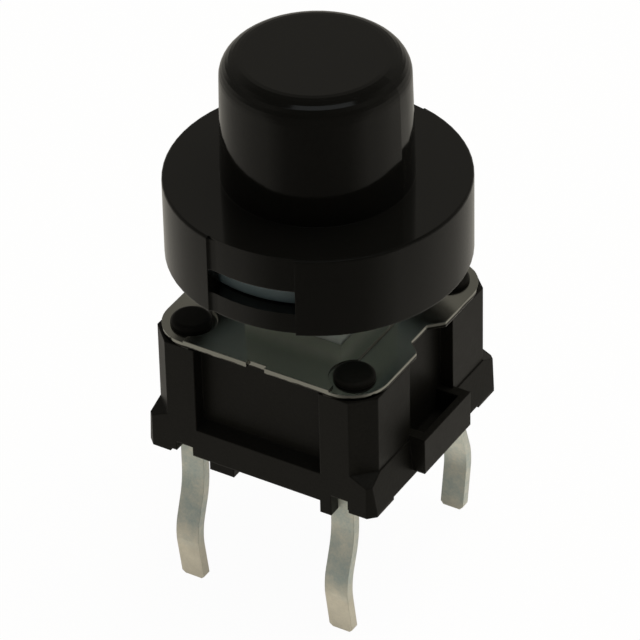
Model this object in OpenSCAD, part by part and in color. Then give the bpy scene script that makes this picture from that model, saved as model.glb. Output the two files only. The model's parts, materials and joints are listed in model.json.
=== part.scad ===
// Tactile push button switch for a circuit board, with a round button on a wide round disc.
// Origin: middle of the rectangle on which the four leg tips stand. +Z points up, to the button.
// The legs come out on the -Y and +Y sides. Sizes are in millimetres.

/* [Housing] */
// Side of the square housing, also of the cover plate
body_w = 7.35; // [7.2:0.05:8.2]
// Height from the feet to the top of the cover plate
body_h = 4.45; // [4.35:0.05:5.4]
// Cut on the upright corners above the skirt
corner_cut = 0.62; // [0.3:0.02:0.8]
// Height of the square skirt
skirt_h = 1.25; // [1.15:0.05:1.4]
// How far the skirt stands out on the -X and +X sides at its top
skirt_top_out = 0.03; // [0.02:0.01:0.06]
// How far the skirt stands out on the -X and +X sides at its foot
skirt_foot_out = 0.16; // [0.08:0.02:0.3]
// Fall of the skirt's top at its four corners
skirt_fall = 0.3; // [0.1:0.05:0.4]
// Cut on the skirt's upright corners, where it doesn't flare
skirt_cut = 0.07; // [0.03:0.01:0.2]
// Height of the small feet below the walls
foot_h = 0.42; // [0.2:0.02:0.44]
// Depth of the recess in each side
recess_depth = 0.41; // [0.2:0.01:0.42]
// Width of the recess in the -Y and +Y sides
recess_w_y = 4.16; // [3.6:0.04:4.2]
// Width of the recess in the -X and +X sides
recess_w_x = 2.5; // [2.2:0.1:2.6]
// Height of the sill under the -Y and +Y recesses
recess_sill = 0.98; // [0.9:0.02:1.2]
// Rise of that sill towards the recess
sill_rise = 0.2; // [0.1:0.05:0.3]
// How far the lug on the -X and +X sides stands out
lug_out = 0.53; // [0.4:0.01:0.65]
// Height of the lug
lug_h = 1.2; // [1:0.05:1.3]
// Height of the lug's underside above the foot of the wall
lug_lift = 0.18; // [0.1:0.02:0.3]
// Width of the lug
lug_w = 2.7; // [2.64:0.02:2.8]
// Thickness of the lug in front of its pocket
lug_rim = 0.22; // [0.15:0.01:0.3]
// Depth of the pocket behind the lug
lug_pocket = 0.75; // [0.4:0.05:0.8]
// Width of the pocket behind the lug
lug_pocket_w = 2; // [1.6:0.1:2.1]
// Diameter of the round well that holds the dome
well_d = 5.5; // [5.4:0.1:5.7]
// Depth of the well below the cover plate
well_depth = 2.1; // [2:0.05:2.3]
// Thickness of the walls round the hollow underside
base_wall = 0.4; // [0.36:0.02:0.4]
// Depth of the hollow underside
base_hollow = 0.38; // [0.34:0.02:0.42]

/* [Rivets] */
// Distance of each rivet from the two nearest sides
rivet_inset = 0.96; // [0.9:0.02:1.04]
// Diameter of the rivet posts
rivet_d = 0.8; // [0.6:0.05:0.9]
// Diameter of the formed rivet heads
rivet_head_d = 1.24; // [1.1:0.02:1.4]
// Height of the formed rivet heads
rivet_head_h = 0.21; // [0.15:0.01:0.35]
// Diameter of the flat seat pressed into the plate under each head
seat_d = 1.5; // [1.44:0.02:1.8]
// Rounding of the heads' edge, as a share of their height
head_crown = 0.75; // [0.3:0.05:0.9]

/* [Cover plate] */
// Thickness of the cover plate
plate_t = 0.18; // [0.15:0.01:0.25]
// Radius of the plate's corners round the rivets
plate_corner_r = 1.2; // [1:0.05:1.3]
// Height of the strip along Y that is pressed up between the rivets
strip_h = 0.06; // [0.03:0.01:0.1]
// Width of that strip
strip_w = 4.84; // [4.6:0.04:4.88]
// Width of the wide edge notches at their mouth
wide_notch_w = 1.7; // [1.4:0.1:2.2]
// Depth of the wide edge notches
wide_notch_d = 0.4; // [0.2:0.02:0.44]
// Width of the narrow edge notches
narrow_notch_w = 0.6; // [0.4:0.05:0.9]
// Depth of the narrow edge notches
narrow_notch_d = 0.12; // [0.08:0.02:0.2]

/* [Legs] */
// Distance between the two legs of one side
leg_pitch = 5.08; // [5:0.02:5.2]
// Distance between the two rows of legs where they leave the housing
leg_row = 6.2; // [6.1:0.02:6.2]
// Width of a leg
leg_w = 0.76; // [0.6:0.02:0.78]
// Thickness of the sheet that the legs and contacts are stamped from
leg_t = 0.3; // [0.2:0.02:0.3]
// Height of the feet above the leg tips
leg_reach = 4.35; // [4.1:0.05:5]
// How far the kink stands outwards
kink_out = 0.5; // [0.3:0.01:0.6]
// Height of the kink's crease above the tips
kink_z = 1.8; // [1.5:0.05:2.1]
// Height above the crease at which the legs begin to lean out
kink_rise = 1.5; // [1.2:0.05:1.9]
// How far the tips lean back in from the crease
tip_in = 0.3; // [0.2:0.01:0.45]
// Cut on the corners of the tips
tip_cut = 0.1; // [0.05:0.01:0.2]

/* [Contacts] */
// Inner radius of the bend between a leg and its bar
bend_r = 0.15; // [0.1:0.01:0.2]
// Depth at which the middle contact's bar is buried below the well's floor
bury = 0.15; // [0.1:0.01:0.2]
// Diameter of the middle contact
contact_d = 1.1; // [0.8:0.05:1.3]
// Width of the flat round the contact's raised middle
contact_rim = 0.1; // [0.05:0.01:0.15]
// Height of the middle contact above the well's floor
contact_h = 0.06; // [0.03:0.01:0.08]
// Length of the outer contact pad along the dome's rim
pad_l = 2.4; // [1.8:0.1:3]
// How far the outer contact pad reaches in from its bar
pad_reach = 0.5; // [0.3:0.05:0.8]

/* [Dome] */
// Diameter of the snap dome
dome_d = 5; // [4.8:0.1:5.2]
// Thickness of the snap dome
dome_t = 0.08; // [0.06:0.01:0.1]

// Travel of the button, from rest until the dome meets the middle contact
travel = 0.35; // [0.3:0.01:0.36]

/* [Plunger] */
// Side of the square plunger
plunger_w = 3.2; // [2.8:0.1:3.6]
// Diameter of the plunger's shoulder under the cover plate
shoulder_d = 4.9; // [4.8:0.05:5]
// Thickness of the shoulder
shoulder_t = 0.5; // [0.4:0.05:0.6]
// Diameter of the nose that presses the dome
nose_d = 1.6; // [1.2:0.1:2]
// Side of the square post that carries the cap
post_w = 2; // [1.6:0.1:2.2]
// Height of the post above the plunger's square part
post_h = 2.3; // [1.8:0.1:2.6]

/* [Cap] */
// Diameter of the disc
disc_d = 8.9; // [8.7:0.05:9.4]
// Height of the disc's rim
disc_h = 2.55; // [2.4:0.05:2.8]
// Height of the disc's lower edge above the cover plate
disc_gap = 2; // [1.2:0.05:2.5]
// Rounding of the disc's upper edge
disc_round = 0.08; // [0.04:0.01:0.15]
// Diameter of the button at its foot
button_d = 5.6; // [5.4:0.05:6]
// Height of the button above the disc
button_h = 3.95; // [3.6:0.05:4.5]
// Taper of the button, foot to top, on the diameter
button_taper = 0.14; // [0.04:0.02:0.3]
// Rounding of the button's upper edge
button_round = 0.65; // [0.3:0.05:0.75]
// Thickness of the disc's rim
rim_t = 0.43; // [0.35:0.01:0.46]
// Thickness of the disc's upper wall
disc_t = 0.6; // [0.5:0.05:0.7]
// Thickness of the button's side wall
button_wall = 0.65; // [0.5:0.05:0.7]
// Thickness of the button's top
button_top_t = 0.8; // [0.76:0.02:1]
// Width of the mould windows in the rim, as an angle
window_angle = 36; // [28:1:44]
// Turn of the windows from the middle of the -Y and +Y sides
window_turn = 4; // [0:1:8]
// Height of the windows
window_h = 0.77; // [0.6:0.01:0.8]
// Depth of the shallow panel in which each window lies
panel_depth = 0.1; // [0.05:0.01:0.12]
// How far the snap ledges under the windows reach in
ledge_in = 0.3; // [0.2:0.02:0.4]
// Height of the snap ledges
ledge_h = 0.55; // [0.4:0.05:0.65]

/* [Cap holder] */
// Thickness of the holder's disc
holder_t = 1.25; // [1.1:0.05:1.3]
// Diameter of the holder's hub in the button
hub_d = 3.6; // [3.4:0.05:3.8]
// Thickness of the hub's top over the post
hub_top_t = 0.4; // [0.3:0.05:0.6]

/* [Fits] */
// Clearance of the moving plunger in the cover plate, each side
slide_gap = 0.05; // [0.03:0.01:0.08]
// Clearance between pieces that are pushed or moulded together, each side
seat_gap = 0.02; // [0.01:0.01:0.03]
// Clearance round the rivet posts in the cover plate
rivet_gap = 0.04; // [0.02:0.01:0.06]
// Clearance between the holder's disc and the cap's rim
holder_gap = 0.12; // [0.08:0.02:0.2]

/* [Hidden] */
$fn = 96;

// Overlap of shapes that are joined, and how far a cut runs past the face that it opens
eps = 0.01;
past = 1;

// Height of the unpressed dome: its travel, what it comes to rest on and a last clearance
dome_spare = 0.01;
dome_h = travel + contact_h + dome_t + dome_spare;

// Levels, from the leg tips upwards
seat_z = leg_reach;
wall_z = seat_z + foot_h;
skirt_z = wall_z + skirt_h;
lug_z = wall_z + lug_lift;
lug_top_z = lug_z + lug_h;
plate_z = seat_z + body_h;
block_z = plate_z - plate_t;
floor_z = block_z - well_depth;
disc_z = plate_z + disc_gap;
shelf_z = disc_z + disc_h - disc_t;
disc_top_z = disc_z + disc_h;
button_top_z = disc_top_z + button_h;
holder_z = shelf_z - holder_t;
ledge_z = holder_z - slide_gap;
shoulder_z = block_z - slide_gap - shoulder_t;
nose_z = floor_z + dome_h + seat_gap;
post_top_z = holder_z + post_h;
hub_top_z = post_top_z + seat_gap + hub_top_t;
bar_rim_z = floor_z - leg_t / 2;
bar_middle_z = bar_rim_z - bury;

// Half sizes and radii
half = body_w / 2;
leg_x = leg_pitch / 2;
leg_y = leg_row / 2;
rivet_at = half - rivet_inset;
disc_r = disc_d / 2;
rim_in_r = disc_r - rim_t;
holder_r = rim_in_r - holder_gap;
foot_r = button_d / 2;
top_r = foot_r - button_taper / 2;
hollow_r = top_r - button_wall;
hole_w = plunger_w + 2 * slide_gap;

// Notches in the wall in front of the legs, the left one and the right one seen from outside
notch_w = 0.55;
notch_h = 0.3;
notch_left_x = leg_x - 0.03;
notch_right_x = leg_x + 0.16;

// Feet: a long pad set back from the wall, a nib beside the right notch, low corners
pad_foot_w = 0.82;
pad_foot_l = 0.55;
pad_foot_x = 1.35;
pad_foot_set = 0.15;
nib_foot_w = 0.37;
corner_foot_h = 0.1;
corner_foot_x = 0.67;
corner_foot_y = 1.17;

// Share by which a leg's outline runs on past its tip before the tip is cut square
leg_run_on = 0.1;

function mirrored(p) = [for (q = p) [-q[0], q[1]]];
function reversed(p) = [for (i = [len(p) - 1 : -1 : 0]) p[i]];
function unit(v) = v / norm(v);
function left_of(v) = [-v[1], v[0]];
function arc(c, r, a0, a1, steps) =
    [for (i = [0 : steps]) let (a = a0 + (a1 - a0) * i / steps) c + r * [cos(a), sin(a)]];

// Point i of a bent line, moved sideways by d with its corners kept sharp
function beside(p, i, d) =
    let (before = i > 0 ? unit(p[i] - p[i - 1]) : unit(p[1] - p[0]),
         after = i < len(p) - 1 ? unit(p[i + 1] - p[i]) : before,
         across = unit(left_of(before) + left_of(after)))
    p[i] + across * d / (across * left_of(before));

// Outline of a strip of thickness t along a bent line
function strip(p, t) =
    concat([for (i = [0 : len(p) - 1]) beside(p, i, t / 2)],
           [for (i = [len(p) - 1 : -1 : 0]) beside(p, i, -t / 2)]);

// Middle line of one leg from the bar's end to past its tip, as [y, z]
function leg_line(bar_z) =
    let (r = bend_r + leg_t / 2,
         crease = [leg_y + kink_out, kink_z],
         tip = [leg_y + kink_out - tip_in, 0])
    concat(arc([leg_y - r, bar_z - r], r, 90, 0, 4),
           [[leg_y, kink_z + kink_rise], crease, tip + (tip - crease) * leg_run_on]);

function terminal_line(bar_z) = concat(reversed(mirrored(leg_line(bar_z))), leg_line(bar_z));

module cut_square(w, c) {
    h = w / 2;
    polygon([[h - c, -h], [h, -h + c], [h, h - c], [h - c, h],
             [c - h, h], [-h, h - c], [-h, c - h], [c - h, -h]]);
}

module round_square(w, r) {
    square([w - 2 * r, w], center = true);
    square([w, w - 2 * r], center = true);
    for (x = [-1, 1], y = [-1, 1]) translate([x, y] * (w / 2 - r)) circle(r);
}

module at_rivets() {
    for (x = [-1, 1], y = [-1, 1]) translate([x * rivet_at, y * rivet_at, 0]) children();
}

// Copies the children, drawn for the +X side, to the -X side too
module both_x() {
    for (a = [0, 180]) rotate([0, 0, a]) children();
}

// The bent bar with a leg at each end, g larger all round
module leg_pair(x, bar_z, g) {
    w = leg_w + 2 * g;
    cut = tip_cut + g;
    top = bar_z + leg_t / 2 + g;
    intersection() {
        translate([x - w / 2, 0, 0]) rotate([90, 0, 90])
            linear_extrude(w) polygon(strip(terminal_line(bar_z), leg_t + 2 * g));
        translate([x, body_w, 0]) rotate([90, 0, 0]) linear_extrude(2 * body_w)
            polygon([[cut - w / 2, 0], [w / 2 - cut, 0], [w / 2, cut],
                     [w / 2, top], [-w / 2, top], [-w / 2, cut]]);
    }
}

// Stamping whose tongue carries the contact in the middle of the well
module middle_stamping(g) {
    leg_pair(-leg_x, bar_middle_z, g);
    translate([-leg_x, -contact_d / 2 - g, bar_middle_z - leg_t / 2 - g])
        cube([leg_x, contact_d + 2 * g, leg_t + 2 * g]);
    translate([0, 0, bar_middle_z - leg_t / 2 - g])
        cylinder(d = contact_d + 2 * g, h = leg_t + 2 * g);
    translate([0, 0, bar_middle_z])
        cylinder(d = contact_d - 2 * contact_rim + 2 * g, h = floor_z + contact_h - bar_middle_z);
}

// Stamping whose pad lies under the dome's rim
module rim_stamping(g) {
    leg_pair(leg_x, bar_rim_z, g);
    translate([leg_x - leg_w / 2 - pad_reach - g, -pad_l / 2 - g, bar_rim_z - leg_t / 2 - g])
        cube([pad_reach + leg_w / 2 + g, pad_l + 2 * g, leg_t + 2 * g]);
}

// Low corners of the walls, which the hollow underside cuts to the walls' thickness
module corner_feet() {
    for (x = [-1, 1], y = [-1, 1])
        translate([x > 0 ? half - corner_foot_x : -half - skirt_foot_out,
                   y > 0 ? half - corner_foot_y : -half, wall_z - corner_foot_h])
            cube([corner_foot_x + skirt_foot_out, corner_foot_y, corner_foot_h + eps]);
}

// What is cut from a corner of the skirt, drawn outwards from the housing's middle
module corner_section() {
    run = corner_cut / sqrt(2);
    flat = (body_w - corner_cut) / sqrt(2);
    post = (body_w - skirt_cut) / sqrt(2);
    polygon([[post, wall_z - past], [post + past, wall_z - past], [post + past, skirt_z + past],
             [flat, skirt_z + past], [flat, skirt_z],
             [post, skirt_z - skirt_fall * (post - flat) / run]]);
}

// Upper block with cut corners on a square skirt that flares towards -X and +X
module housing_block() {
    foot = half + skirt_foot_out;
    top = half + skirt_top_out;
    translate([0, 0, skirt_z - eps])
        linear_extrude(block_z - skirt_z + eps) cut_square(body_w, corner_cut);
    difference() {
        union() {
            translate([0, half, 0]) rotate([90, 0, 0]) linear_extrude(body_w)
                polygon([[-foot, wall_z], [foot, wall_z], [top, skirt_z], [-top, skirt_z]]);
            corner_feet();
        }
        for (a = [45 : 90 : 315]) rotate([90, 0, a])
            translate([0, 0, -past]) linear_extrude(2 * past) corner_section();
    }
}

// Long pads and nibs that stand on the board, in the same places after a half turn
module feet() {
    both_x() {
        translate([pad_foot_x - pad_foot_w / 2, half - pad_foot_set - pad_foot_l, seat_z])
            cube([pad_foot_w, pad_foot_l, foot_h + base_hollow + eps]);
        translate([notch_right_x - notch_w / 2 - nib_foot_w, -half, seat_z])
            cube([nib_foot_w, base_wall, foot_h + eps]);
    }
}

// Recess of the +Y side, with a sill that rises inwards
module long_recess() {
    sill_z = wall_z + recess_sill;
    inner = half - recess_depth;
    translate([-recess_w_y / 2, 0, 0]) rotate([90, 0, 90]) linear_extrude(recess_w_y)
        polygon([[inner, sill_z + sill_rise], [half, sill_z], [half + past, sill_z],
                 [half + past, plate_z], [inner, plate_z]]);
}

// Recess of the +X side above the lug, and the pocket behind the lug
module short_recess() {
    inner = half - recess_depth;
    translate([inner, -recess_w_x / 2, lug_top_z]) cube([past, recess_w_x, body_h]);
    translate([inner, -lug_pocket_w / 2, lug_top_z - lug_pocket])
        cube([recess_depth + lug_out - lug_rim, lug_pocket_w, body_h]);
}

module lug() {
    translate([half - recess_depth, -lug_w / 2, lug_z])
        cube([recess_depth + lug_out, lug_w, lug_h]);
}

// Notches of the -Y wall in front of two legs
module leg_notches() {
    for (x = [-notch_left_x, notch_right_x])
        translate([x - notch_w / 2, -half - past, wall_z - past])
            cube([notch_w, past + base_wall + eps, notch_h + past]);
}

module rivet() {
    r = rivet_head_d / 2;
    crown = rivet_head_h * head_crown;
    translate([0, 0, block_z - eps]) cylinder(d = rivet_d, h = plate_t + 2 * eps);
    translate([0, 0, plate_z]) rotate_extrude()
        polygon(concat([[0, 0], [r, 0]], arc([r - crown, rivet_head_h - crown], crown, 0, 90, 6),
                       [[0, rivet_head_h]]));
}

module housing() {
    hollow_w = body_w - 2 * base_wall;
    color("#26261f") {
        difference() {
            union() {
                housing_block();
                both_x() lug();
            }
            both_x() short_recess();
            both_x() long_recess();
            both_x() leg_notches();
            translate([0, 0, floor_z]) cylinder(d = well_d, h = well_depth + past);
            translate([-hollow_w / 2, -hollow_w / 2, wall_z - past])
                cube([hollow_w, hollow_w, base_hollow + past]);
            middle_stamping(seat_gap);
            rim_stamping(seat_gap);
        }
        feet();
        at_rivets() rivet();
    }
}

// Notches in the middle of the plate's edges, wide ones on -X and +X
module plate_notches() {
    mouth = wide_notch_w / 2;
    throat = mouth - wide_notch_d;
    inner = half - wide_notch_d;
    both_x() polygon([[half + past, -mouth - past], [inner, -throat],
                      [inner, throat], [half + past, mouth + past]]);
    for (a = [90, 270]) rotate([0, 0, a])
        translate([half - narrow_notch_d, -narrow_notch_w / 2]) square([past, narrow_notch_w]);
}

module cover_plate() {
    under_w = strip_w - 2 * plate_t;
    color("#3a3b38") difference() {
        union() {
            translate([0, 0, block_z]) linear_extrude(plate_t) round_square(body_w, plate_corner_r);
            translate([-strip_w / 2, -half, plate_z - eps]) cube([strip_w, body_w, strip_h + eps]);
        }
        translate([-under_w / 2, -half - past, block_z - eps])
            cube([under_w, body_w + 2 * past, strip_h + eps]);
        translate([0, 0, block_z - past]) linear_extrude(2 * past) plate_notches();
        translate([-hole_w / 2, -hole_w / 2, block_z - past]) cube([hole_w, hole_w, 2 * past]);
        at_rivets() {
            translate([0, 0, block_z - past]) cylinder(d = rivet_d + 2 * rivet_gap, h = 2 * past);
            translate([0, 0, plate_z]) cylinder(d = seat_d, h = past);
        }
    }
}

module terminal_middle() {
    color("#a9a79c") middle_stamping(0);
}

module terminal_rim() {
    color("#a9a79c") rim_stamping(0);
}

// Part of a thin ball shell whose rim stands on the well's floor
module snap_dome() {
    r = dome_d / 2;
    ball = (r * r + dome_h * dome_h) / (2 * dome_h);
    mid = [0, floor_z + dome_h - ball];
    span = asin(r / ball);
    inner_span = acos((ball - dome_h) / (ball - dome_t));
    color("#c4c4c0") rotate_extrude()
        polygon(concat(arc(mid, ball, 90 - span, 90, 10),
                       arc(mid, ball - dome_t, 90, 90 - inner_span, 10)));
}

module plunger() {
    color("#cfd3cc") {
        translate([0, 0, nose_z]) cylinder(d = nose_d, h = shoulder_z - nose_z + eps);
        translate([0, 0, shoulder_z]) cylinder(d = shoulder_d, h = shoulder_t);
        translate([-plunger_w / 2, -plunger_w / 2, shoulder_z])
            cube([plunger_w, plunger_w, holder_z - shoulder_z]);
        translate([-post_w / 2, -post_w / 2, holder_z - eps]) cube([post_w, post_w, post_h + eps]);
    }
}

module cap_holder() {
    socket_w = post_w + 2 * seat_gap;
    color("#cfd8dc") difference() {
        union() {
            translate([0, 0, holder_z]) cylinder(r = holder_r, h = holder_t);
            translate([0, 0, holder_z]) cylinder(d = hub_d, h = hub_top_z - holder_z);
        }
        translate([-socket_w / 2, -socket_w / 2, holder_z - past])
            cube([socket_w, socket_w, post_h + seat_gap + past]);
    }
}

// A sector of a ring, centred on each window
module at_windows(span) {
    for (a = [90, 270]) rotate([0, 0, a + window_turn - span / 2])
        rotate_extrude(angle = span) children();
}

module cap_shell() {
    rotate_extrude() polygon(concat(
        [[0, button_top_z]],
        reversed(arc([top_r - button_round, button_top_z - button_round], button_round, 0, 90, 8)),
        [[foot_r, disc_top_z]],
        reversed(arc([disc_r - disc_round, disc_top_z - disc_round], disc_round, 0, 90, 4)),
        [[disc_r, disc_z], [rim_in_r, disc_z], [rim_in_r, shelf_z], [hollow_r, shelf_z],
         [hollow_r, button_top_z - button_top_t], [0, button_top_z - button_top_t]]));
}

// Snap ledge under a window, sloping below so that the holder can be pushed past it
module ledge_section() {
    root = rim_in_r + rim_t / 4;
    polygon([[root, ledge_z], [rim_in_r - ledge_in, ledge_z],
             [rim_in_r - ledge_in, ledge_z - ledge_h / 3], [root, ledge_z - ledge_h]]);
}

module cap() {
    panel_r = disc_r - panel_depth;
    through_r = rim_in_r - holder_gap / 2;
    color("#1b1b19") {
        difference() {
            cap_shell();
            at_windows(window_angle) translate([panel_r, disc_z - past])
                square([past, disc_h + 2 * past]);
            at_windows(window_angle) translate([through_r, ledge_z]) square([past, window_h]);
        }
        at_windows(window_angle) ledge_section();
    }
}

housing();
cover_plate();
terminal_middle();
terminal_rim();
snap_dome();
plunger();
cap_holder();
cap();
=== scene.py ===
"""Looks of a tactile push button switch: a square black housing on four tinned legs, a riveted
steel cover plate and a glossy black cap that a milky plunger carries. Metres, +Z up."""
import json
import math

import bmesh
import bpy
from mathutils import Matrix, Vector

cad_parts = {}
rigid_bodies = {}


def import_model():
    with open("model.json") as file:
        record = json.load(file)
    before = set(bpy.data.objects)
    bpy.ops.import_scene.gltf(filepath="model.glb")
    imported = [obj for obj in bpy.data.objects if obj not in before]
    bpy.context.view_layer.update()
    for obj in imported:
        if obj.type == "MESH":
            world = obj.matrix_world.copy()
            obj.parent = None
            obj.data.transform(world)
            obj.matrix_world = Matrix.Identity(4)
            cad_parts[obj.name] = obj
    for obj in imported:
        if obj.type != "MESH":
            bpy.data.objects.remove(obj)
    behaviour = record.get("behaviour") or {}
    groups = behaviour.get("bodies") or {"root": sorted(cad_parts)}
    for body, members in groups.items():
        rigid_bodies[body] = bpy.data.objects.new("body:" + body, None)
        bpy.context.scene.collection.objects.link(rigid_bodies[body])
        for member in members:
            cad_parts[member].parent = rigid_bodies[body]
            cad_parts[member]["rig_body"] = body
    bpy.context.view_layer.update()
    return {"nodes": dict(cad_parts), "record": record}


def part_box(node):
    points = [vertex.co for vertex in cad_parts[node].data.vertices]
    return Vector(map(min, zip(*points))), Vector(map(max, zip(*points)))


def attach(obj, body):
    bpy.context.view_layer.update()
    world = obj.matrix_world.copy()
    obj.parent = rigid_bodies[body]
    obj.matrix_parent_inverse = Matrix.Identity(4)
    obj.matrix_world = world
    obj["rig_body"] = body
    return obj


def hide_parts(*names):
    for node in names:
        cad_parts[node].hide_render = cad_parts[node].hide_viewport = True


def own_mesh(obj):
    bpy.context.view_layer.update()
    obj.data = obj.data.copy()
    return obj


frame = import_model()
record = frame["record"]

MM = 0.001

# Camera: angles in degrees, distances in metres, offsets of the picture in pixels
VIEW_AZIMUTH = 31.297
VIEW_ELEVATION = 35.951
VIEW_ROLL = -1.316
VIEW_DISTANCE = 0.1424
NEAREST_SEEN = 0.01
FOCAL_PIXELS = 4920.8
OFFSET_RIGHT = 0.69
OFFSET_UP = 21.04
FRAME_PIXELS = 640
SENSOR_MM = 36

# The room in reflections, as stops of place and strength: from behind the object to the camera's
# side, and from straight below to overhead. Then the least strength anywhere and the tint.
ROOM_ROUND = [(0.1, 0.36), (0.3, 0.26), (0.5, 0.235), (0.7, 0.2), (0.84, 0.06), (0.92, 0.04)]
ROOM_UP = [(0.1, 3.0), (0.16, 2.6), (0.215, 1.0), (0.5, 1.0), (0.6, 0.35), (0.8, 0.42),
           (0.9, 0.05), (1, 0)]
ROOM_DARK = 0.03
ROOM_TINT = (1, 0.95, 0.84)

# Even light of the room on what isn't polished, and the height at which the lamps aim
SKY_LIGHT = 0.22
LAMP_AIM = 9 * MM

# The floor: half its width and its level in metres, its shade, and how white the camera sees it
FLOOR_HALF = 0.4
FLOOR_LEVEL = -0.02 * MM
FLOOR_SHADE = (0.92, 0.88, 0.78, 1)
FLOOR_WHITE = 0.97

# Joining and smoothing of meshes: points that are one, and turns that are flat or look smooth
SAME_POINT = 0.001 * MM
FLAT_TURN = math.radians(1)
SMOOTH_TURN = math.radians(25)

# Rounded bends of the legs: their reach on both sides of a crease, and the turns that are creases
BEND_REACH = 0.45 * MM
BEND_STEPS = 6
BEND_TURNS = (math.radians(6), math.radians(60))

# The cap's two windows: middles and half width in degrees from +X. Steps beside them and ledges
# under them: radii and heights in millimetres, with degrees inwards from the window's end.
WINDOW_MIDDLES = (94, 274)
WINDOW_HALF = 18
STEP_HEIGHTS = ((10.8, 11.45), (12.22, 13.28))
STEP_CORNER = ((4.33, -0.4), (4.445, -0.05), (4.42, 0.14), (4.395, 0.5), (4.373, 1.06),
               (4.358, 1.84), (4.346, 3.45), (4.333, 5.2))
LEDGE_SECTION = ((4.1, 11.45), (3.72, 11.45), (3.72, 11.27), (4.1, 10.9))
LEDGE_ANGLES = (0.5, -1.5, -3.5, -5.5, -8)

# Heights in millimetres: where the floor light painted on the legs' lower ends fades out in the
# middle of the switch, how that border leans on Y to give the far leg less of it, and where the
# light painted on the foot of the plunger's stem fades out into the shade painted above it
PAINTED_FLOOR_LIGHT = (0.5, 1.5)
PAINTED_FLOOR_LIGHT_LEAN = 0.25
STEM_PAINTED_LIGHT = (9.0, 9.9)

# The plate's stamped edge, in millimetres: its foot, the height of the band above it painted
# nearly black, partly the dull torn zone of stamping and partly painted shade for the dark line
# under the bright edge, how soft the band's border is and how much it wavers
PLATE_LOW = 8.62
PAINTED_SHADE_BAND = 0.125
PAINTED_SHADE_BORDER = 0.02
PAINTED_SHADE_WAVER = 0.09
PAINTED_EDGE_SHADE = (0.03, 0.029, 0.025, 1)


class Wire:
    """A value in a node tree, with the sums that are used on it."""

    def __init__(self, tree, socket):
        self.tree = tree
        self.socket = socket

    def node(self, kind, outlet=0, settings=None, **values):
        return add_node(self.tree, kind, outlet, settings, **values)

    def maths(self, operation, first, second):
        return self.node("ShaderNodeMath", 0, {"operation": operation}, i0=first, i1=second)

    def __add__(self, other):
        return self.maths("ADD", self, other)

    def __mul__(self, other):
        return self.maths("MULTIPLY", self, other)

    def __sub__(self, other):
        return self.maths("SUBTRACT", self, other)

    def __rsub__(self, other):
        return self.maths("SUBTRACT", other, self)

    __radd__ = __add__
    __rmul__ = __mul__


def add_node(tree, kind, outlet=0, settings=None, **values):
    """Adds a node: its settings, then its sockets by name, or by number as i0, i1 and so on."""
    made = tree.nodes.new(kind)
    for name, value in (settings or {}).items():
        if name == "stops":
            set_stops(made.color_ramp, value)
        else:
            setattr(made, name, value)
    for name, value in values.items():
        number = name[1:].isdigit() and name[0] == "i"
        socket = made.inputs[int(name[1:]) if number else name.replace("_", " ")]
        if isinstance(value, Wire):
            tree.links.new(value.socket, socket)
        else:
            socket.default_value = value
    return Wire(tree, made.outputs[outlet])


def set_stops(ramp, stops):
    """Stops of a ramp; a strength above 1 is allowed."""
    while len(ramp.elements) < len(stops):
        ramp.elements.new(1)
    for element, (place, shade) in zip(ramp.elements, stops):
        element.position = place
        element.color = (shade, shade, shade, 1)


def new_finish(name):
    """An empty material: itself, its main shader and the piece's own coordinates in millimetres."""
    finish = bpy.data.materials.new(name)
    finish.use_nodes = True
    tree = finish.node_tree
    metres = add_node(tree, "ShaderNodeTexCoord", "Object")
    place = metres.node("ShaderNodeVectorMath", 0, {"operation": "SCALE"}, Vector=metres,
                        Scale=1 / MM)
    return finish, tree.nodes["Principled BSDF"], place


def noise(place, scale, detail=2.0, rough=0.5):
    return place.node("ShaderNodeTexNoise", "Fac", {}, Vector=place, Scale=scale, Detail=detail,
                      Roughness=rough)


def specks(place, scale, detail, amount):
    """Fine rough noise around 0."""
    return (noise(place, scale, detail, rough=0.7) - 0.5) * amount


def stretched(place, along):
    return place.node("ShaderNodeMapping", 0, {}, Vector=place, Scale=along)


def spread(value, low, high):
    """Turns a value of 0 to 1 into one of low to high."""
    return value * (high - low) + low


def height_blend(place, low, high, waver, lean=0.0):
    """0 below a height in millimetres and 1 above another; the border wavers and may lean on Y."""
    height = place.node("ShaderNodeVectorMath", 1, {"operation": "DOT_PRODUCT"}, i0=place,
                        i1=(0, lean, 1))
    height = height + noise(place, scale=2, detail=3) * waver
    return height.node("ShaderNodeMapRange", 0, {}, Value=height, From_Min=low, From_Max=high)


def mixed(value, first, second):
    """Blends two colours, each one fixed or varying over the surface."""
    return value.node("ShaderNodeMix", 2, {"data_type": "RGBA"}, i0=value, i6=first, i7=second)


def shades(value, dark, pale):
    """Blends two fixed colours by a value of 0 to 1."""
    return mixed(value, dark + (1,), pale + (1,))


def feed(shader, name, wire):
    wire.tree.links.new(wire.socket, shader.inputs[name])


def set_values(shader, **values):
    """Sets what stays the same over the surface."""
    for name, value in values.items():
        shader.inputs[name.replace("_", " ")].default_value = value


def bump(height, strength, depth_mm, edge_mm):
    """Fine relief on a surface whose sharp edges are rounded a little."""
    eased = height.node("ShaderNodeBevel", 0, {"samples": 6}, Radius=edge_mm * MM)
    return height.node("ShaderNodeBump", 0, {}, Strength=strength, Distance=depth_mm * MM,
                       Height=height, Normal=eased)


def moulded_black(name, dark, pale, gloss, shine, speck, grain, edge_mm):
    """Moulded black plastic: flow shades with specks, dust in its gloss and a fine grain."""
    finish, shader, place = new_finish(name)
    flow = noise(place, scale=0.35, detail=3) + specks(place, 12, 4, speck)
    dust = noise(place, scale=2.3, detail=5, rough=0.65)
    relief = noise(place, scale=9, detail=4, rough=0.6) + noise(place, scale=1.1) * 0.6
    feed(shader, "Base Color", shades(flow, dark, pale))
    feed(shader, "Roughness", spread(dust, *gloss))
    feed(shader, "Normal", bump(relief, grain, 0.01, edge_mm))
    set_values(shader, IOR=1.5, Specular_IOR_Level=shine)
    return finish


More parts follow.
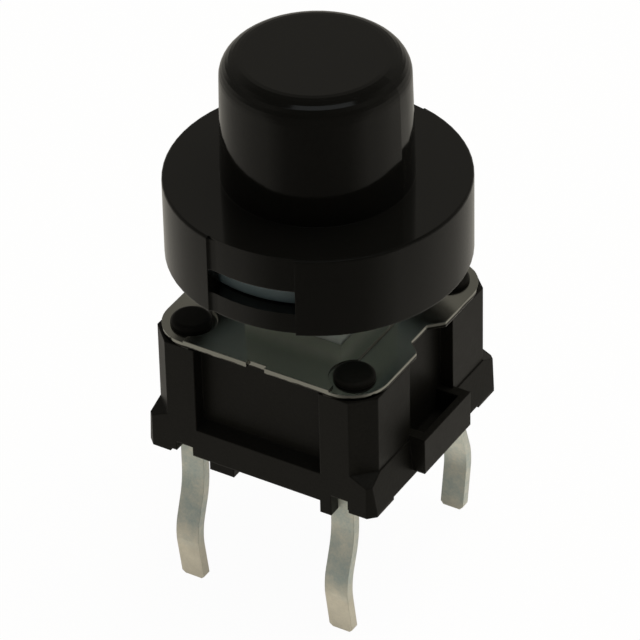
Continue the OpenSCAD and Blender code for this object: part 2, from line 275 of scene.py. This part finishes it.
def polished_steel():
    """Rolled and polished steel: faint lines along X, small blotches, a cool grey shade, and a band
    painted nearly black on the lower part of its edges: partly the dull torn zone of stamping,
    partly painted shade for the dark line under the bright edge."""
    finish, shader, place = new_finish("polished_steel_finish")
    lines = noise(stretched(place, (0.6, 30, 6)), scale=1, detail=3)
    cloud = noise(place, scale=0.6, detail=3)
    painted_shade_top = PLATE_LOW + PAINTED_SHADE_BAND
    above_painted_shade = height_blend(place, painted_shade_top, painted_shade_top + PAINTED_SHADE_BORDER, PAINTED_SHADE_WAVER)
    sheet = shades(cloud, (0.4, 0.405, 0.365), (0.55, 0.55, 0.5))
    # Painted shade: the band low on the edges is painted nearly black, partly the real dull torn
    # zone
    feed(shader, "Base Color", mixed(above_painted_shade, PAINTED_EDGE_SHADE, sheet))
    feed(shader, "Roughness", spread(lines, 0.12, 0.2))
    feed(shader, "Normal", bump(lines, strength=0.06, depth_mm=0.003, edge_mm=0.03))
    set_values(shader, Metallic=1)
    return finish


def tinned_metal(name, dark, pale, tip_painted_light, gloss, metal):
    """Satin plating: clouds of shade, fine specks, uneven gloss and painted floor light low down.
    """
    finish, shader, place = new_finish(name)
    cloud = spread(noise(place, scale=1.3, detail=4, rough=0.6), -0.5, 1.5)
    cloud = cloud + specks(place, 11, 3, 0.9)
    # Painted light: the lower ends are painted warmer and paler, as the floor would light them,
    # fading out by height
    above = height_blend(place, *PAINTED_FLOOR_LIGHT, waver=0.5, lean=PAINTED_FLOOR_LIGHT_LEAN)
    tips_painted_light = shades(cloud, tuple(0.8 * shade for shade in tip_painted_light), tip_painted_light)
    feed(shader, "Base Color", mixed(above, tips_painted_light, shades(cloud, dark, pale)))
    feed(shader, "Roughness", spread(noise(place, scale=3.1, detail=3), *gloss))
    grain = noise(place, scale=22, detail=3, rough=0.6)
    feed(shader, "Normal", bump(grain, strength=0.25, depth_mm=0.006, edge_mm=0.05))
    set_values(shader, Metallic=metal)
    return finish


def natural_plastic(name, dark, pale, foot=None):
    """Uncoloured milky plastic, slightly waxy, with faint flow shades and, on the plunger's stem,
    painted light: a pale foot as if lit from below, and above it a stem painted darker as shaded."""
    finish, shader, place = new_finish(name)
    flow = noise(place, scale=0.5, detail=3)
    above = height_blend(place, *STEM_PAINTED_LIGHT, waver=0.2)
    # Painted light on the plunger: a pale foot as if lit from below, and above it the stem's
    # painted shade
    feed(shader, "Base Color", mixed(above, (foot or pale) + (1,), shades(flow, dark, pale)))
    feed(shader, "Roughness", spread(noise(place, scale=5, detail=3), 0.28, 0.42))
    relief = noise(place, scale=6, detail=3)
    feed(shader, "Normal", bump(relief, strength=0.15, depth_mm=0.01, edge_mm=0.05))
    set_values(shader, Subsurface_Weight=0.25, Subsurface_Radius=(0.6, 0.7, 0.7),
               Subsurface_Scale=0.6 * MM)
    return finish


def is_bend(edge, foot):
    """Whether an edge is a crease that runs across a leg, below the housing's foot."""
    if len(edge.link_faces) != 2:
        return False
    start, end = (vert.co for vert in edge.verts)
    across = abs((end - start).normalized().x) > 0.99
    below = max(start.z, end.z) < foot
    return across and below and BEND_TURNS[0] < edge.calc_face_angle(0) < BEND_TURNS[1]


def merged_copy(name):
    """A CAD solid's faces, joined along their edges, for a piece that takes its place."""
    form = bmesh.new()
    form.from_mesh(frame["nodes"][name].data)
    bmesh.ops.remove_doubles(form, verts=form.verts, dist=SAME_POINT)
    bmesh.ops.dissolve_degenerate(form, edges=form.edges, dist=SAME_POINT)
    return form


def make_piece(name, form, body):
    """A piece from its faces, smooth over its shallow edges, that rides on a body."""
    bmesh.ops.triangulate(form, faces=form.faces)
    mesh = bpy.data.meshes.new(name)
    form.to_mesh(mesh)
    form.free()
    mesh.shade_smooth()
    mesh.set_sharp_from_angle(angle=SMOOTH_TURN)
    piece = bpy.data.objects.new(name, mesh)
    bpy.context.scene.collection.objects.link(piece)
    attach(piece, body)
    return piece


def bend_legs(part):
    """A terminal with its bends rounded as a press leaves them, in the place of its CAD solid."""
    name = part["node"]
    form = merged_copy(name)
    bmesh.ops.dissolve_limit(form, angle_limit=FLAT_TURN, verts=form.verts, edges=form.edges)
    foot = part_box("housing")[0].z
    bends = [edge for edge in form.edges if is_bend(edge, foot)]
    bmesh.ops.bevel(form, geom=bends, offset=BEND_REACH, offset_type="OFFSET",
                    segments=BEND_STEPS, profile=0.5, affect="EDGES", clamp_overlap=True)
    body = frame["nodes"][name]["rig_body"]
    piece = make_piece(name + "_bent", form, body)
    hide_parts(name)
    return piece


def spring_dome(part):
    """The snap dome as a piece with a mesh of its own, in the place of its CAD solid."""
    name = part["node"]
    body = frame["nodes"][name]["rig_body"]
    piece = make_piece(name + "_spring", merged_copy(name), body)
    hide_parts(name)
    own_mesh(piece)
    return piece


def on_ring(radius, degrees, height):
    """A point from its radius and height in millimetres and its angle from +X."""
    angle = math.radians(degrees)
    return Vector((radius * math.cos(angle), radius * math.sin(angle), height)) * MM


def sweep(form, rings):
    """A closed solid through rings of the same number of points."""
    rows = [[form.verts.new(point) for point in ring] for ring in rings]
    for near, far in zip(rows, rows[1:]):
        for i in range(len(near)):
            form.faces.new((near[i - 1], near[i], far[i], far[i - 1]))
    form.faces.new(rows[0])
    form.faces.new(rows[-1][::-1])


def window_corners(finish):
    """An eased corner where each panel starts, and the ledges' ends past both ends of a window."""
    form = bmesh.new()
    for middle in WINDOW_MIDDLES:
        for heights in STEP_HEIGHTS:
            sweep(form, [[on_ring(radius, middle - WINDOW_HALF + turn, height)
                          for radius, turn in STEP_CORNER] for height in heights])
        for side in (-1, 1):
            sweep(form, [[on_ring(radius, middle + side * (WINDOW_HALF - turn), height)
                          for radius, height in LEDGE_SECTION] for turn in LEDGE_ANGLES])
    bmesh.ops.recalc_face_normals(form, faces=form.faces)
    body = frame["nodes"]["cap"]["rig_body"]
    piece = make_piece("cap_window_corners", form, body)
    piece.data.materials.append(finish)


def make_finishes():
    """The finishes by the record's slots, and the plunger's own by its name."""
    return {
        "black_housing": moulded_black(
            "black_housing_finish", dark=(0.006, 0.0058, 0.005), pale=(0.0096, 0.0092, 0.0078),
            gloss=(0.36, 0.48), shine=0.17, speck=3, grain=0.3, edge_mm=0.06),
        "black_cap": moulded_black(
            "black_cap_finish", dark=(0.0034, 0.0034, 0.003), pale=(0.0048, 0.0047, 0.0041),
            gloss=(0.05, 0.11), shine=0.45, speck=0.5, grain=0.04, edge_mm=0.02),
        "polished_steel": polished_steel(),
        "tinned_metal": tinned_metal(
            "tinned_metal_finish", dark=(0.54, 0.66, 0.68), pale=(0.97, 0.96, 0.88),
            # tip_painted_light: the warm pale floor light painted on the legs' lower ends
            tip_painted_light=(1.0, 0.955, 0.83), gloss=(0.28, 0.46), metal=0.35),
        "dome_steel": tinned_metal(
            "dome_steel_finish", dark=(0.6, 0.6, 0.58), pale=(0.74, 0.74, 0.72),
            # tip_painted_light: the painted light on the dome's lower part
            tip_painted_light=(0.7, 0.7, 0.68), gloss=(0.16, 0.26), metal=1),
        "natural_plastic": natural_plastic(
            "holder_plastic_finish", dark=(0.1, 0.145, 0.175), pale=(0.145, 0.195, 0.225)),
        # The plunger: painted shade in its dark and pale, painted light in its foot
        "plunger": natural_plastic(
            "plunger_painted_light_finish", dark=(0.2, 0.25, 0.26), pale=(0.27, 0.32, 0.32),
            foot=(0.85, 0.95, 0.92)),
    }


def dress_nodes():
    """Gives each piece its finish, the terminals their rounded bends and the dome a mesh of its
    own.
    """
    finishes = make_finishes()
    for part in record["subparts"]:
        piece = frame["nodes"][part["node"]]
        if part["node"].startswith("terminal"):
            piece = bend_legs(part)
        elif part["node"] == "snap_dome":
            piece = spring_dome(part)
        piece.data.materials.clear()
        piece.data.materials.append(finishes.get(part["node"], finishes[part["material_slot"]]))
    window_corners(finishes["black_cap"])


def towards(azimuth, elevation):
    """The direction from the object to a viewer or a lamp at two angles in degrees."""
    around = math.radians(azimuth)
    above = math.radians(elevation)
    return Vector((math.sin(around) * math.cos(above), -math.cos(around) * math.cos(above),
                   math.sin(above)))


def place_camera():
    """Camera at the photograph's angle; the aim is turned a little instead of shifting the lens."""
    azimuth = math.radians(VIEW_AZIMUTH)
    roll = math.radians(VIEW_ROLL)
    back = towards(VIEW_AZIMUTH, VIEW_ELEVATION)
    level = Vector((math.cos(azimuth), math.sin(azimuth), 0))
    upright = back.cross(level)
    right = level * math.cos(roll) + upright * math.sin(roll)
    up = upright * math.cos(roll) - level * math.sin(roll)
    aim = -back - right * (OFFSET_RIGHT / FOCAL_PIXELS) - up * (OFFSET_UP / FOCAL_PIXELS)
    away = -aim.normalized()
    right = up.cross(away).normalized()
    up = away.cross(right)
    plate_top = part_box("cover_plate")[1].z
    lens = bpy.data.cameras.new("camera")
    lens.sensor_width = SENSOR_MM
    lens.lens = SENSOR_MM * FOCAL_PIXELS / FRAME_PIXELS
    lens.clip_start = NEAREST_SEEN
    camera = bpy.data.objects.new("camera", lens)
    turn = Matrix((right, up, away)).transposed().to_4x4()
    at = Vector((0, 0, plate_top)) + back * VIEW_DISTANCE
    camera.matrix_world = Matrix.Translation(at) @ turn
    bpy.context.scene.collection.objects.link(camera)
    bpy.context.scene.camera = camera


def place_lamp(name, azimuth, elevation, distance, size, watts, tint, in_gloss):
    """A soft rectangular lamp that looks at the middle of the object."""
    way = towards(azimuth, elevation)
    light = bpy.data.lights.new(name, "AREA")
    light.shape = "RECTANGLE"
    light.size, light.size_y = size
    light.energy = watts
    light.color = tint
    lamp = bpy.data.objects.new(name, light)
    lamp.location = Vector((0, 0, LAMP_AIM)) + way * distance
    lamp.rotation_euler = way.to_track_quat("Z", "Y").to_euler()
    lamp.visible_glossy = in_gloss
    bpy.context.scene.collection.objects.link(lamp)


def room_in_gloss(way):
    """What polished pieces see, by direction: dark towards the camera and overhead, paler to the
    sides and behind, and palest right below."""
    facing = way.node("ShaderNodeVectorMath", 1, {"operation": "DOT_PRODUCT"}, i0=way,
                      i1=towards(VIEW_AZIMUTH, 0))
    height = way.node("ShaderNodeSeparateXYZ", 2, {}, Vector=way)
    around = way.node("ShaderNodeValToRGB", 0, {"stops": ROOM_ROUND}, Fac=facing * 0.5 + 0.5)
    upwards = way.node("ShaderNodeValToRGB", 0, {"stops": ROOM_UP}, Fac=height * 0.5 + 0.5)
    return around * upwards + ROOM_DARK


def light_room():
    """White behind the object for the camera, the room in its gloss, and light from above."""
    world = bpy.data.worlds.new("room")
    world.use_nodes = True
    bpy.context.scene.world = world
    tree = world.node_tree
    tree.nodes.clear()
    ray = tree.nodes.new("ShaderNodeLightPath")
    seen = Wire(tree, ray.outputs["Is Camera Ray"])
    gloss = Wire(tree, ray.outputs["Is Glossy Ray"])
    way = add_node(tree, "ShaderNodeTexCoord", "Generated")
    strength = seen + (1 - seen) * (gloss * room_in_gloss(way) + (1 - gloss) * SKY_LIGHT)
    tint = shades(seen, ROOM_TINT, (1, 1, 1))
    light = add_node(tree, "ShaderNodeBackground", 0, {}, Color=tint, Strength=strength)
    out = tree.nodes.new("ShaderNodeOutputWorld")
    tree.links.new(light.socket, out.inputs["Surface"])
    place_lamp("overhead", VIEW_AZIMUTH + 6, 66, distance=0.3, size=(0.34, 0.07), watts=0.03,
               tint=(0.9, 0.97, 1), in_gloss=True)
    place_lamp("key", VIEW_AZIMUTH + 120, 70, distance=0.35, size=(0.3, 0.3), watts=1.05,
               tint=(1, 0.97, 0.9), in_gloss=False)


def lay_floor():
    """A large plain floor: white to the camera with part of the real shadow."""
    mesh = bpy.data.meshes.new("floor")
    corners = [(x * FLOOR_HALF, y * FLOOR_HALF, FLOOR_LEVEL)
               for x, y in ((-1, -1), (1, -1), (1, 1), (-1, 1))]
    mesh.from_pydata(corners, [], [(0, 1, 2, 3)])
    floor = bpy.data.objects.new("floor", mesh)
    bpy.context.scene.collection.objects.link(floor)
    finish = bpy.data.materials.new("floor_finish")
    finish.use_nodes = True
    tree = finish.node_tree
    tree.nodes.clear()
    ray = tree.nodes.new("ShaderNodeLightPath")
    seen = Wire(tree, ray.outputs["Is Camera Ray"])
    card = add_node(tree, "ShaderNodeBsdfDiffuse", 0, {}, Color=FLOOR_SHADE)
    white = add_node(tree, "ShaderNodeEmission", 0, {}, Color=(1, 1, 1, 1), Strength=1.0)
    both = add_node(tree, "ShaderNodeMixShader", 0, {}, i0=seen * FLOOR_WHITE, i1=card, i2=white)
    out = tree.nodes.new("ShaderNodeOutputMaterial")
    tree.links.new(both.socket, out.inputs["Surface"])
    mesh.materials.append(finish)
    floor.visible_glossy = False


dress_nodes()
place_camera()
light_room()
lay_floor()
bpy.context.scene.view_settings.view_transform = "Standard"
